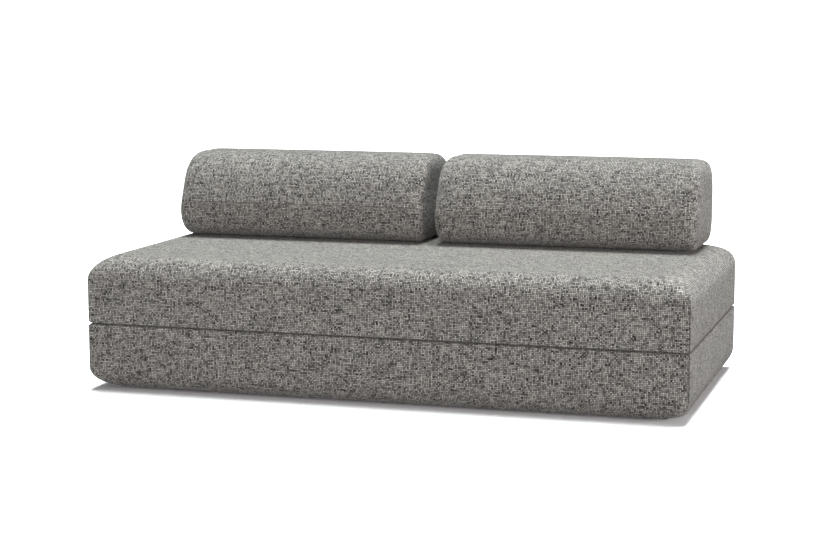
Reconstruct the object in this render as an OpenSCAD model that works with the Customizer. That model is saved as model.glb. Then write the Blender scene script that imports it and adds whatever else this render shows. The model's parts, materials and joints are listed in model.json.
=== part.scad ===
// Fold-out sofa bed: two foam mattress blocks stacked face to face and joined
// by a cloth hinge along their front edges, with two loose back bolsters.
// The seat block turns over the hinge to lie in front of the base block as a bed.
// +X runs along the sofa, -Y is the front, +Z is up, the floor is z = 0.

/* [Mattress blocks] */
// Length of each block, along the sofa
block_l = 2000; // [1500:10:2300]
// Depth of each block, front to back
block_d = 1030; // [800:10:1200]
// Thickness of each block
block_h = 219; // [160:1:260]
// Rounding of the edge that faces away from the joint
outer_r = 73; // [50:1:78]
// Rounding of the edge at the joint
inner_r = 10; // [6:1:14]
// Rounding of the four upright corners
corner_r = 20; // [16:1:40]

/* [Bolsters] */
// Height of each bolster
bolster_h = 296; // [250:1:360]
// Depth of each bolster where it stands on the seat
bolster_d = 392; // [350:1:450]
// Rounding of its lower front
bolster_low_front_r = 92; // [60:1:100]
// Rounding of its upper front
bolster_top_front_r = 150; // [110:1:160]
// How far its upper front leans back behind its lower front
bolster_lean = 27; // [0:1:40]
// Rounding of its upper rear
bolster_top_rear_r = 107; // [80:1:130]
// Rounding of its lower rear
bolster_low_rear_r = 80; // [40:1:90]
// Rounding of its two ends
bolster_end_r = 31; // [20:1:60]
// Free seat between the left end of the block and the left bolster
left_end_space = 51; // [0:1:200]
// Free seat between the right bolster and the right end of the block
right_end_space = 83; // [0:1:200]
// Space between the two bolsters
middle_space = 42; // [5:1:200]

/* [Layers] */
// Thickness of the upholstery cloth
cover_t = 1.5; // [1:0.1:2.5]
// Thickness of the inner liner
liner_t = 0.8; // [0.4:0.1:1.2]
// Thickness of the fibre wadding round the foam
wadding_t = 15; // [8:1:25]
// Air left between one layer and the next
layer_gap = 0.4; // [0.2:0.1:0.6]
// Thickness of the soft slab on the sleeping face
sleep_slab_t = 40; // [20:1:50]
// Thickness of the soft slab on the sitting face
sit_slab_t = 50; // [20:1:55]

/* [Cloth hinge] */
// Air between the two stacked blocks, where the hinge leaves lie
fold_gap = 3; // [2.8:0.1:6]
// Thickness of one hinge leaf
leaf_t = 1.2; // [0.8:0.1:1.2]
// How far a leaf reaches back between the blocks
leaf_d = 45; // [30:1:80]
// How far the leaves stop short of the block ends
leaf_end = 30; // [25:1:80]
// How far the fold line lies in front of the blocks
fold_out = 1.5; // [1:0.1:3]

/* [Zips] */
// Plain cloth between each end of a block and its zip
block_zip_end = 250; // [60:10:400]
// Plain cloth between each end of a bolster and its zip
bolster_zip_end = 146; // [60:1:200]
// Height of the middle of the block's zip above the large rounding
block_zip_rise = 47; // [20:1:60]
// Height of the middle of the bolster's zip above the lower rear rounding
bolster_zip_rise = 30; // [20:1:60]
// Width of one zip tape
tape_w = 12; // [8:0.5:14]
// Thickness of the zip tape
tape_t = 0.6; // [0.4:0.1:0.8]
// Width of the closed zip coil
coil_w = 5; // [4:0.1:7]
// Length of the zip slider
slider_l = 12; // [9:0.5:16]

/* [Underside] */
// How far the non-slip panel stays inside the flat of the underside
grip_inset = 6; // [4:1:40]

/* [Hidden] */
$fn = 96;

cloth = [0.47, 0.46, 0.45];
liner_white = [0.93, 0.92, 0.89];
fibre_white = [0.97, 0.97, 0.96];
core_yellow = [0.93, 0.86, 0.62];
sleep_blue = [0.62, 0.76, 0.86];
sit_green = [0.70, 0.82, 0.66];
zip_grey = [0.30, 0.30, 0.31];
grip_black = [0.13, 0.13, 0.14];

// the stack, from the floor up; it is symmetrical about the fold line
fold_z = block_h + fold_gap / 2;
seat_z = block_h + fold_gap;
stack_h = 2 * fold_z;
fold_y = -block_d / 2 - fold_out;
leaf_clear = 0.3;

// depth of each layer's outer face below the outside of the cover
liner_in = cover_t + layer_gap;
wadding_in = liner_in + liner_t + layer_gap;
foam_in = wadding_in + wadding_t + layer_gap;
// smallest rounding that a layer keeps at the joint edge
least_r = 2;

// two equal bolsters share the seat's length with the spaces beside them
bolster_l = (block_l - left_end_space - middle_space - right_end_space) / 2;
left_bolster_x = -block_l / 2 + left_end_space + bolster_l / 2;
right_bolster_x = block_l / 2 - right_end_space - bolster_l / 2;
// the bolster stands this far above the seat, because the two are loose
bolster_lift = 0.4;
bolster_z = stack_h + bolster_lift;
bolster_back = block_d / 2;
// the bolster's section in y and z, as round stretches [y, z, radius] in turn
bolster_rounds = [
    [bolster_back - bolster_d + bolster_low_front_r, bolster_low_front_r, bolster_low_front_r],
    [
        bolster_back - bolster_d + bolster_lean + bolster_top_front_r,
        bolster_h - bolster_top_front_r,
        bolster_top_front_r
    ],
    [bolster_back - bolster_top_rear_r, bolster_h - bolster_top_rear_r, bolster_top_rear_r],
    [bolster_back - bolster_low_rear_r, bolster_low_rear_r, bolster_low_rear_r]
];
arc_step = 9;

// zips, their depths measured from the outside of the cover
block_zip_l = block_l - 2 * block_zip_end;
bolster_zip_l = bolster_l - 2 * bolster_zip_end;
block_zip_z = outer_r + block_zip_rise;
bolster_zip_z = bolster_low_rear_r + bolster_zip_rise;
zip_clear = 0.2;
slot_w = 2 * tape_w + coil_w + 2 * zip_clear;
tape_in = 0.8;
coil_in = 0.1;
coil_t = 1.4;
slide_clear = 0.3;
slider_wall = 1;
slider_out = 1.2;
stop_l = 3;
slider_flange_in = tape_in - slide_clear;

// section of a block in its own box: w wide, h high, with its joint edge at the top,
// each face set in by t
module block_section(w, h, t) {
    big = outer_r - t;
    small = max(inner_r - t, least_r);
    wide = w - 2 * t;
    high = h - 2 * t;
    translate([-wide / 2 + big, t]) square([wide - 2 * big, high]);
    translate([-wide / 2, t + big]) square([wide, high - big - small]);
    translate([-wide / 2 + small, h - t - 2 * small]) square([wide - 2 * small, 2 * small]);
    for (side = [-1, 1]) {
        translate([side * (wide / 2 - big), t + big]) circle(big);
        translate([side * (wide / 2 - small), h - t - small]) circle(small);
    }
}

// outline of a block from above, each side set in by t
module block_plan(t) {
    r = max(corner_r - t, least_r);
    l = block_l - 2 * t;
    d = block_d - 2 * t;
    square([l - 2 * r, d], center = true);
    square([l, d - 2 * r], center = true);
    for (x = [-1, 1], y = [-1, 1])
        translate([x * (l / 2 - r), y * (d / 2 - r)]) circle(r);
}

// a base block standing on z = 0, every face set in by t
module block(t) {
    intersection() {
        translate([0, block_d / 2, 0]) rotate([90, 0, 0])
            linear_extrude(block_d) block_section(block_l, block_h, t);
        translate([-block_l / 2, 0, 0]) rotate([90, 0, 90])
            linear_extrude(block_l) block_section(block_d, block_h, t);
        linear_extrude(block_h) block_plan(t);
    }
}

// a layer of a block, from depth t to depth t + wall
module block_shell(t, wall) {
    difference() {
        block(t);
        block(t + wall);
    }
}

// what lies between two heights in a block of depth t
module block_slab(t, low, high) {
    intersection() {
        block(t);
        translate([-block_l, -block_d, low]) cube([2 * block_l, 2 * block_d, high - low]);
    }
}

// the base block turned over and lifted onto the fold gap
module as_seat() {
    translate([0, 0, stack_h]) mirror([0, 0, 1]) children();
}

// direction of the outward normal on the straight run from one round to the next
function run_angle(a, b) =
    let (d = [b[0] - a[0], b[1] - a[1]])
    atan2(d[1], d[0]) + acos((a[2] - b[2]) / norm(d));

// points of the arc of round b, from the run before it to the run after it
function arc_points(a, b, c, t) =
    let (
        from = run_angle(a, b),
        to = run_angle(b, c),
        turn = (from - to + 720) % 360,
        n = max(1, ceil(turn / arc_step)),
        r = b[2] - t
    )
    [for (i = [0:n]) let (q = from - turn * i / n) [b[0] + r * cos(q), b[1] + r * sin(q)]];

// outline of a belt that runs round a ring of rounds, set in by t
function belt(rounds, t) =
    let (n = len(rounds))
    [for (i = [0:n - 1]) each arc_points(rounds[(i + n - 1) % n], rounds[i], rounds[(i + 1) % n], t)];

// lengthways outline of the bolster seen from one side, its ends rounded, set in by t
module bolster_end_outline(width, t) {
    r = max(bolster_end_r - t, least_r);
    l = bolster_l - 2 * t;
    translate([-l / 2 + r, t]) square([l - 2 * r, width - 2 * t]);
    translate([-l / 2, t + r]) square([l, width - 2 * t - 2 * r]);
    for (x = [-1, 1], y = [t + r, width - t - r])
        translate([x * (l / 2 - r), y]) circle(r);
}

// a bolster about x = 0 standing on z = 0, every face set in by t
module bolster(t) {
    intersection() {
        translate([-bolster_l / 2, 0, 0]) rotate([90, 0, 90])
            linear_extrude(bolster_l) polygon(belt(bolster_rounds, t));
        translate([0, bolster_back, 0]) rotate([90, 0, 0])
            linear_extrude(bolster_d) bolster_end_outline(bolster_h, t);
        translate([0, bolster_back - bolster_d, 0])
            linear_extrude(bolster_h) bolster_end_outline(bolster_d, t);
    }
}

// a layer of a bolster, from depth t to depth t + wall
module bolster_shell(t, wall) {
    difference() {
        bolster(t);
        bolster(t + wall);
    }
}

module at_left_bolster() {
    translate([left_bolster_x, 0, bolster_z]) children();
}

module at_right_bolster() {
    translate([right_bolster_x, 0, bolster_z]) children();
}

// a bar along the zip: l long, w high, from depth front to depth back behind the rear face
module zip_bar(l, w, front, back) {
    translate([-l / 2, block_d / 2 - back, -w / 2]) cube([l, back - front, w]);
}

// the opening in the cover that takes the zip
module zip_slot(l) {
    zip_bar(l + 2 * zip_clear, slot_w, -1, cover_t + layer_gap / 2);
}

module zip_tapes(l) {
    difference() {
        zip_bar(l, slot_w - 2 * zip_clear, tape_in, tape_in + tape_t);
        zip_bar(l + 2, coil_w, tape_in - 1, tape_in + tape_t + 1);
    }
}

module zip_coil(l) {
    zip_bar(l - 2 * stop_l, coil_w, coil_in, coil_in + coil_t);
}

module zip_stops(l) {
    for (side = [-1, 1])
        translate([side * (l - stop_l) / 2, 0, 0])
            zip_bar(stop_l, coil_w, coil_in, coil_in + coil_t);
}

// bridge over the coil, closed end of the zip at +x
module zip_slider(l) {
    inside_w = coil_w + 2 * slide_clear;
    translate([(l - slider_l) / 2 - stop_l, 0, 0])
        difference() {
            zip_bar(slider_l, inside_w + 2 * slider_wall, -slider_out, slider_flange_in);
            zip_bar(slider_l + 2, inside_w, coil_in - slide_clear, slider_flange_in + 1);
        }
}

module at_base_zip() {
    translate([0, 0, block_zip_z]) children();
}

module at_bolster_zip() {
    translate([0, 0, bolster_zip_z]) children();
}

// flat of the underside, where the non-slip panel closes the cover
module grip_outline(clear) {
    edge = outer_r + grip_inset - clear;
    square([block_l - 2 * edge, block_d - 2 * edge], center = true);
}

module base_cover() {
    color(cloth) difference() {
        block_shell(0, cover_t);
        at_base_zip() zip_slot(block_zip_l);
        translate([0, 0, -1]) linear_extrude(cover_t + layer_gap / 2 + 1) grip_outline(0);
    }
}

module base_grip_panel() {
    color(grip_black) linear_extrude(cover_t) grip_outline(-zip_clear);
}

module base_liner() {
    color(liner_white) block_shell(liner_in, liner_t);
}

module base_wadding() {
    color(fibre_white) block_shell(wadding_in, wadding_t);
}

module base_core_foam() {
    color(core_yellow)
        block_slab(foam_in, foam_in, block_h - foam_in - sleep_slab_t - layer_gap);
}

module base_sleep_foam() {
    color(sleep_blue)
        block_slab(foam_in, block_h - foam_in - sleep_slab_t, block_h - foam_in);
}

module base_zip_tapes() {
    color(zip_grey) at_base_zip() zip_tapes(block_zip_l);
}

module base_zip_coil() {
    color(zip_grey) at_base_zip() zip_coil(block_zip_l);
}

module base_zip_stops() {
    color(zip_grey) at_base_zip() zip_stops(block_zip_l);
}

module base_zip_slider() {
    color(zip_grey) at_base_zip() zip_slider(block_zip_l);
}

// leaf sewn along the front of the base, lying on its upper face
module base_hinge_leaf() {
    color(cloth)
        translate([-block_l / 2 + leaf_end, fold_y + leaf_clear, block_h])
            cube([block_l - 2 * leaf_end, leaf_d, leaf_t]);
}

module seat_hinge_leaf() {
    color(cloth) as_seat() base_hinge_leaf();
}

module seat_cover() {
    color(cloth) as_seat() difference() {
        block_shell(0, cover_t);
        at_base_zip() zip_slot(block_zip_l);
    }
}

module seat_liner() {
    color(liner_white) as_seat() base_liner();
}

module seat_wadding() {
    color(fibre_white) as_seat() base_wadding();
}

module seat_sleep_foam() {
    color(sleep_blue) as_seat() base_sleep_foam();
}

module seat_core_foam() {
    color(core_yellow) as_seat()
        block_slab(
            foam_in,
            foam_in + sit_slab_t + layer_gap,
            block_h - foam_in - sleep_slab_t - layer_gap
        );
}

module seat_sit_foam() {
    color(sit_green) as_seat() block_slab(foam_in, foam_in, foam_in + sit_slab_t);
}

module seat_zip_tapes() {
    color(zip_grey) as_seat() base_zip_tapes();
}

module seat_zip_coil() {
    color(zip_grey) as_seat() base_zip_coil();
}

module seat_zip_stops() {
    color(zip_grey) as_seat() base_zip_stops();
}

module seat_zip_slider() {
    color(zip_grey) as_seat() base_zip_slider();
}

module bolster_cover() {
    color(cloth) difference() {
        bolster_shell(0, cover_t);
        at_bolster_zip() zip_slot(bolster_zip_l);
    }
}

module bolster_liner() {
    color(liner_white) bolster_shell(liner_in, liner_t);
}

module bolster_wadding() {
    color(fibre_white) bolster_shell(wadding_in, wadding_t);
}

module bolster_foam() {
    color(core_yellow) bolster(foam_in);
}

module bolster_zip_tapes() {
    color(zip_grey) at_bolster_zip() zip_tapes(bolster_zip_l);
}

module bolster_zip_coil() {
    color(zip_grey) at_bolster_zip() zip_coil(bolster_zip_l);
}

module bolster_zip_stops() {
    color(zip_grey) at_bolster_zip() zip_stops(bolster_zip_l);
}

module bolster_zip_slider() {
    color(zip_grey) at_bolster_zip() zip_slider(bolster_zip_l);
}

base_cover();
base_grip_panel();
base_liner();
base_wadding();
base_core_foam();
base_sleep_foam();
base_zip_tapes();
base_zip_coil();
base_zip_stops();
base_zip_slider();
base_hinge_leaf();
seat_hinge_leaf();
seat_cover();
seat_liner();
seat_wadding();
seat_core_foam();
seat_sleep_foam();
seat_sit_foam();
seat_zip_tapes();
seat_zip_coil();
seat_zip_stops();
seat_zip_slider();
at_left_bolster() bolster_cover();  // left_bolster_cover
at_left_bolster() bolster_liner();  // left_bolster_liner
at_left_bolster() bolster_wadding();  // left_bolster_wadding
at_left_bolster() bolster_foam();  // left_bolster_foam
at_left_bolster() bolster_zip_tapes();  // left_bolster_zip_tapes
at_left_bolster() bolster_zip_coil();  // left_bolster_zip_coil
at_left_bolster() bolster_zip_stops();  // left_bolster_zip_stops
at_left_bolster() bolster_zip_slider();  // left_bolster_zip_slider
at_right_bolster() bolster_cover();  // right_bolster_cover
at_right_bolster() bolster_liner();  // right_bolster_liner
at_right_bolster() bolster_wadding();  // right_bolster_wadding
at_right_bolster() bolster_foam();  // right_bolster_foam
at_right_bolster() bolster_zip_tapes();  // right_bolster_zip_tapes
at_right_bolster() bolster_zip_coil();  // right_bolster_zip_coil
at_right_bolster() bolster_zip_stops();  // right_bolster_zip_stops
at_right_bolster() bolster_zip_slider();  // right_bolster_zip_slider
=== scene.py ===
# %% [markdown]
# # A fold-out sofa bed in grey melange cloth
# Two foam blocks lie one on the other and a pair of loose bolsters stands on them.
# The frame that is loaded here says where every piece is and how it moves. This file
# adds what the eye sees: cloth, seams, zips, light and a camera. Units are metres,
# +X runs along the sofa, -Y is its front and the floor is z = 0.

# %% Load the frame
import json
import math
import bpy
import numpy as np
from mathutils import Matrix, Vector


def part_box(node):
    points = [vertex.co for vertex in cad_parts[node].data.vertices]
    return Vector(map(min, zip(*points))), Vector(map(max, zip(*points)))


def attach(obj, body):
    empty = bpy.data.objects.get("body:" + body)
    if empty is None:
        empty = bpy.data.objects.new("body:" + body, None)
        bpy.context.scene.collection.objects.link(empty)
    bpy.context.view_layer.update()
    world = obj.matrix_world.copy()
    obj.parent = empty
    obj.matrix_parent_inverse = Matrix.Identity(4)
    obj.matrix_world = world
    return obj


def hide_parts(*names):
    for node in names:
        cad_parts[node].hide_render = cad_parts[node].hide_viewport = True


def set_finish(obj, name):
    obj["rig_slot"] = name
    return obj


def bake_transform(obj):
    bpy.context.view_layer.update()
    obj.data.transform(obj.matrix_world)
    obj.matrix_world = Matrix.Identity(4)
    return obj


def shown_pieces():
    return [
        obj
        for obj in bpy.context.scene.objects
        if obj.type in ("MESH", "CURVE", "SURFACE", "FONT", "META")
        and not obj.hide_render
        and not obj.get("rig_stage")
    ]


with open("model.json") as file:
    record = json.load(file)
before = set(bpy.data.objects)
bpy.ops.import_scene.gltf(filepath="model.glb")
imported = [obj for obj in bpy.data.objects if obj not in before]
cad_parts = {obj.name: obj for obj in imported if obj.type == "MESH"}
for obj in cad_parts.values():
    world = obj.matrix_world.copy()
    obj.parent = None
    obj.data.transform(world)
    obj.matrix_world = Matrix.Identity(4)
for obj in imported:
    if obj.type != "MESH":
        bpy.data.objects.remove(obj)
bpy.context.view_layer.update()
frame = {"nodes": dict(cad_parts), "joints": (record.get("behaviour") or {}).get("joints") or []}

# %% [markdown]
# ## Camera
# The sofa is seen from the front, a little to the right and from just above, by a
# long lens, so that its edges run nearly parallel. A turn about X and a turn about Z
# aim the camera; there is no roll, no shift and no blur.

# %% Camera
CAMERA_PLACE = (1.856, -6.241, 1.262)
CAMERA_DOWN = 8.0
CAMERA_TURN = 16.73
LENS_MM = 83.6

camera_data = bpy.data.cameras.new("studio_camera")
camera_data.lens = LENS_MM
camera_data.sensor_width = 36.0
camera = bpy.data.objects.new("studio_camera", camera_data)
camera.location = CAMERA_PLACE
camera.rotation_euler = (math.radians(90 - CAMERA_DOWN), 0, math.radians(CAMERA_TURN))
bpy.context.scene.collection.objects.link(camera)
bpy.context.scene.camera = camera
print("camera at", CAMERA_PLACE, "lens", LENS_MM, "mm")

# %% [markdown]
# ## Floor and light
# The set is a white sweep. The camera sees the floor as paper white, while the sofa
# gets only a modest bounce from it, so its underside stays dark. A broad soft sun
# stands above and a little behind, and lights all that faces up. Two panels stand
# low, one in front and one on the right, and light the upright faces. They are low
# so that the seat in front of the bolsters gets little of them and stays in shade.
# Pale surroundings fill the rest.

# %% Floor
FLOOR_SEEN = 1.6
FLOOR_TINT = (0.985, 0.995, 1.02)
FLOOR_BOUNCE = 0.35
FLOOR_HALF = 300.0


def white_floor():
    """A square of floor: FLOOR_SEEN to the lens and FLOOR_BOUNCE to all other rays."""
    material = bpy.data.materials.new("white_sweep")
    material.use_nodes = True
    tree = material.node_tree
    tree.nodes.remove(tree.nodes["Principled BSDF"])
    matte = tree.nodes.new("ShaderNodeBsdfDiffuse")
    path = tree.nodes.new("ShaderNodeLightPath")
    pick = tree.nodes.new("ShaderNodeMix")
    pick.data_type = "RGBA"
    pick.inputs["A"].default_value = (FLOOR_BOUNCE, FLOOR_BOUNCE, FLOOR_BOUNCE, 1)
    pick.inputs["B"].default_value = (*(FLOOR_SEEN * c for c in FLOOR_TINT), 1)
    tree.links.new(path.outputs["Is Camera Ray"], pick.inputs["Factor"])
    tree.links.new(pick.outputs["Result"], matte.inputs["Color"])
    tree.links.new(matte.outputs["BSDF"], tree.nodes["Material Output"].inputs["Surface"])
    mesh = bpy.data.meshes.new("floor")
    h = FLOOR_HALF
    mesh.from_pydata([(-h, -h, 0), (h, -h, 0), (h, h, 0), (-h, h, 0)], [], [(0, 1, 2, 3)])
    mesh.materials.append(material)
    floor = bpy.data.objects.new("floor", mesh)
    bpy.context.scene.collection.objects.link(floor)
    floor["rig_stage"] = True


bpy.context.scene.view_settings.view_transform = "Standard"
white_floor()
print("floor", 2 * FLOOR_HALF, "m square")

# %% Lights
SKY = 0.08
SKY_SEEN = 1.5
SUN = 5.2
SUN_SPREAD = 28.0
SUN_LEAN_BACK = 13.0
SUN_HEIGHT = 6.0
SUN_TINT = (0.972, 1.023, 1.007)
PANELS = (
    # name, place, aim, size, watts, tint
    ("right_panel", (6.5, -1.1, 1.0), (0, 0, 0.4), 2.4, 204, (1.05, 0.978, 0.969)),
    ("front_panel", (0.0, -8.0, 0.9), (0, 0, 0.3), 2.4, 290, (1.024, 0.984, 0.98)),
)


def add_lamp(data, place, aim, strength, colour):
    """Puts a lamp at place with its -Z axis pointing at aim; the camera can't see it."""
    data.energy = strength
    data.color = colour
    lamp = bpy.data.objects.new(data.name, data)
    lamp.location = place
    way = np.array(aim, float) - np.array(place, float)
    flat = math.hypot(way[0], way[1])
    lamp.rotation_euler = (math.atan2(flat, -way[2]), 0, math.atan2(-way[0], way[1]))
    lamp.visible_camera = False
    bpy.context.scene.collection.objects.link(lamp)


def key_sun():
    """Parallel light from above, which leans back by SUN_LEAN_BACK degrees."""
    data = bpy.data.lights.new("key_sun", "SUN")
    data.angle = math.radians(SUN_SPREAD)
    place = (0, SUN_HEIGHT * math.tan(math.radians(SUN_LEAN_BACK)), SUN_HEIGHT)
    add_lamp(data, place, (0, 0, 0), SUN, SUN_TINT)


def panel(name, place, aim, size, watts, colour):
    """A square lamp of that size."""
    data = bpy.data.lights.new(name, "AREA")
    data.size = size
    add_lamp(data, place, aim, watts, colour)


def pale_surroundings():
    """Even white light from every side, with plain white behind the floor's far edge."""
    world = bpy.data.worlds.new("studio")
    world.use_nodes = True
    tree = world.node_tree
    path = tree.nodes.new("ShaderNodeLightPath")
    pick = tree.nodes.new("ShaderNodeMix")
    pick.inputs["A"].default_value = SKY
    pick.inputs["B"].default_value = SKY_SEEN
    tree.links.new(path.outputs["Is Camera Ray"], pick.inputs["Factor"])
    tree.nodes["Background"].inputs["Color"].default_value = (1, 1, 1, 1)
    tree.links.new(pick.outputs["Result"], tree.nodes["Background"].inputs["Strength"])
    bpy.context.scene.world = world


pale_surroundings()
key_sun()
for settings in PANELS:
    panel(*settings)

# %% [markdown]
# ## Sizes
# The places of all pieces come from the frame. The numbers here are only the ones
# that the frame can't give: how round each edge is and how finely it is meshed.
# A cover is cut to its foam: the upright corners are crisp, and the big rounding on
# the far side of each block draws its corners into soft balls. The zips stand in a
# shallow recess, whose edge is one narrow step.

# %% Sizes
OUTER_R = 0.073
JOINT_R = 0.007
CORNER_R = 0.012
CORNER_GROWTH = 1.69
SEAM_DEPTH = 0.0012
RECESS_DEPTH = 0.0017
RECESS_STEP = 0.0012
RECESS_HALF = 0.0147
RECESS_END = 0.004
ROUND_CELLS = 5
SAME = 1e-4


def node_box(name):
    """Lowest and highest corner of a CAD node as two arrays."""
    low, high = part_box(name)
    return np.array(low), np.array(high)


def node_middle(name):
    """Middle of a CAD node's box."""
    low, high = node_box(name)
    return (low + high) / 2


seat_low, seat_high = node_box("seat_cover")
base_low = node_box("base_cover")[0]
BLOCK = seat_high - seat_low
print("block", BLOCK.round(4), "seat from", seat_low.round(4))

# %% [markdown]
# ## A closed surface from rings and two patches
# A mattress cover and a bolster cover have the same build: a wall of rings, and a
# patch of cloth that closes it at each end. Points are computed as whole arrays. A
# ring has four sides, and a patch is spread between them, so every face has four
# corners and there is no pole.


# %% Patch and mesh helpers
def patch_points(ring, nx, ny):
    """Coons patch inside a ring that has nx, ny, nx and ny cells on its four sides.

    A point is the blend of the two curves across plus the blend of the two curves
    along, less the blend of the four corners.
    """
    front = ring[: nx + 1]
    right = ring[nx : nx + ny + 1]
    back = ring[nx + ny : 2 * nx + ny + 1][::-1]
    left = np.vstack([ring[2 * nx + ny :], ring[:1]])[::-1]
    s = np.linspace(0, 1, nx + 1)[None, :, None]
    t = np.linspace(0, 1, ny + 1)[:, None, None]
    across = (1 - t) * front[None] + t * back[None]
    along = (1 - s) * left[:, None] + s * right[:, None]
    corners = (1 - t) * ((1 - s) * front[0] + s * front[-1])
    corners = corners + t * ((1 - s) * back[0] + s * back[-1])
    return across + along - corners


def patch_index(first_on_ring, first_inside, nx, ny):
    """Vertex numbers of a patch as a grid: its edge is the ring, its inside is new."""
    n = 2 * (nx + ny)
    grid = np.zeros((ny + 1, nx + 1), int)
    ring = first_on_ring + np.arange(n)
    grid[0] = ring[: nx + 1]
    grid[:, nx] = ring[nx : nx + ny + 1]
    grid[ny] = ring[nx + ny : 2 * nx + ny + 1][::-1]
    grid[:, 0] = np.append(ring[2 * nx + ny :], ring[0])[::-1]
    inside = first_inside + np.arange((nx - 1) * (ny - 1))
    grid[1:-1, 1:-1] = inside.reshape(ny - 1, nx - 1)
    return grid


def grid_quads(grid):
    """The four corners of every cell of a grid of vertex numbers."""
    cells = [grid[:-1, :-1], grid[:-1, 1:], grid[1:, 1:], grid[1:, :-1]]
    return np.stack(cells, axis=-1).reshape(-1, 4)


def closed_surface(rings, nx, ny):
    """Points and faces of a wall of rings closed by a patch at each end.

    The faces come as wall, low patch, high patch. The rings turn counter-clockwise
    as seen from the high end, so all faces point outwards.
    """
    rows, n = rings.shape[:2]
    inside = (nx - 1) * (ny - 1)
    low = patch_points(rings[0], nx, ny)[1:-1, 1:-1].reshape(-1, 3)
    high = patch_points(rings[-1], nx, ny)[1:-1, 1:-1].reshape(-1, 3)
    co = np.vstack([rings.reshape(-1, 3), low, high])
    number = np.arange(rows * n).reshape(rows, n)
    wall = grid_quads(np.hstack([number, number[:, :1]]))
    low_faces = grid_quads(patch_index(0, rows * n, nx, ny))[:, ::-1]
    high_faces = grid_quads(patch_index((rows - 1) * n, rows * n + inside, nx, ny))
    return co, wall, low_faces, high_faces


def make_mesh(name, co, faces, uv=None, seam=None):
    """A smooth mesh object from arrays, with cloth coordinates and an attribute that marks seams
    and painted shade.
    """
    mesh = bpy.data.meshes.new(name)
    mesh.vertices.add(len(co))
    mesh.vertices.foreach_set("co", np.asarray(co, np.float32).ravel())
    mesh.loops.add(faces.size)
    mesh.loops.foreach_set("vertex_index", faces.astype(np.int32).ravel())
    mesh.polygons.add(len(faces))
    starts = np.arange(0, faces.size, faces.shape[1], dtype=np.int32)
    mesh.polygons.foreach_set("loop_start", starts)
    mesh.polygons.foreach_set("use_smooth", np.ones(len(faces), bool))
    if uv is not None:
        layer = mesh.uv_layers.new(name="cloth")
        layer.uv.foreach_set("vector", np.asarray(uv, np.float32).ravel())
    if seam is not None:
        shade_mark = mesh.attributes.new("seam", "FLOAT", "POINT")
        shade_mark.data.foreach_set("value", np.asarray(seam, np.float32))
    mesh.update()
    mesh.validate()
    piece = bpy.data.objects.new(name, mesh)
    bpy.context.scene.collection.objects.link(piece)
    return piece


# %% [markdown]
# ## The mattress block
# Seen from above, each ring of a block is a rectangle with round corners. The
# further up the big rounding it lies, the further it is drawn in and the rounder its
# corners are. The grid has lines at the edges of the zip's recess, so that the
# recess can be pressed in cleanly.

# %% Block rings
ARC_CELLS = 4
SHORT_CELLS = 36
LONG_CELLS_ABOUT = 72
WALL_CELLS_ABOUT = 9
BALL_CELLS = 12
LEAST_R = 0.002
ZIP_HALF = 0.75
ZIP_HEIGHT = node_middle("seat_zip_coil")[2] - seat_low[2]


def refined(low, high, edges, cells):
    """Positions from low to high in about so many cells, with lines at all edges."""
    stops = np.array([low, *edges, high])
    counts = np.maximum(1, np.round(cells * np.diff(stops) / (high - low)).astype(int))
    parts = [np.linspace(a, b, c + 1)[:-1] for a, b, c in zip(stops[:-1], stops[1:], counts)]
    return np.append(np.concatenate(parts), high)


def recess_ends(zip_half):
    """The four places along x where the recess of a zip starts and ends."""
    edges = np.array([-zip_half - RECESS_END - RECESS_STEP, -zip_half - RECESS_END])
    return np.concatenate([edges, -edges[::-1]])


def recess_edges(middle):
    """The four heights where the recess of a zip starts and ends."""
    slot = middle + np.array([-1, -1, 1, 1]) * RECESS_HALF
    return slot + np.array([-RECESS_STEP, 0, 0, RECESS_STEP])


def travel_long():
    """Shares of half the length, from -1 to 1, with lines at the recess's ends."""
    reach = BLOCK[0] / 2 - CORNER_R
    return refined(-1, 1, recess_ends(ZIP_HALF) / reach, LONG_CELLS_ABOUT)


LONG_TRAVEL = travel_long()
LONG_CELLS = len(LONG_TRAVEL) - 1
NX = LONG_CELLS + 2 * ARC_CELLS
NY = SHORT_CELLS + 2 * ARC_CELLS


def belt_steps():
    """For each point of a ring: the corner centre it hangs on and its direction.

    A straight side keeps its direction while its centre travels; a corner keeps its
    centre while the direction turns. A ring starts in the middle of a corner.
    """
    turn = math.radians(45) * np.arange(ARC_CELLS) / ARC_CELLS
    short = np.linspace(-1, 1, SHORT_CELLS + 1)
    sides = []
    for k, travel in enumerate((LONG_TRAVEL, short, LONG_TRAVEL, short)):
        out = math.radians(-90 + 90 * k)
        ends = (out - math.pi / 4 + turn, np.full(len(travel) - 1, out), out + turn)
        along = np.concatenate([-np.ones(ARC_CELLS), travel[:-1], np.ones(ARC_CELLS)])
        way = np.array([-math.sin(out), math.cos(out)])
        centre = np.outer(along, way) + np.array([math.cos(out), math.sin(out)])
        sides.append(np.column_stack([centre, np.concatenate(ends)]))
    return np.vstack(sides)


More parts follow.
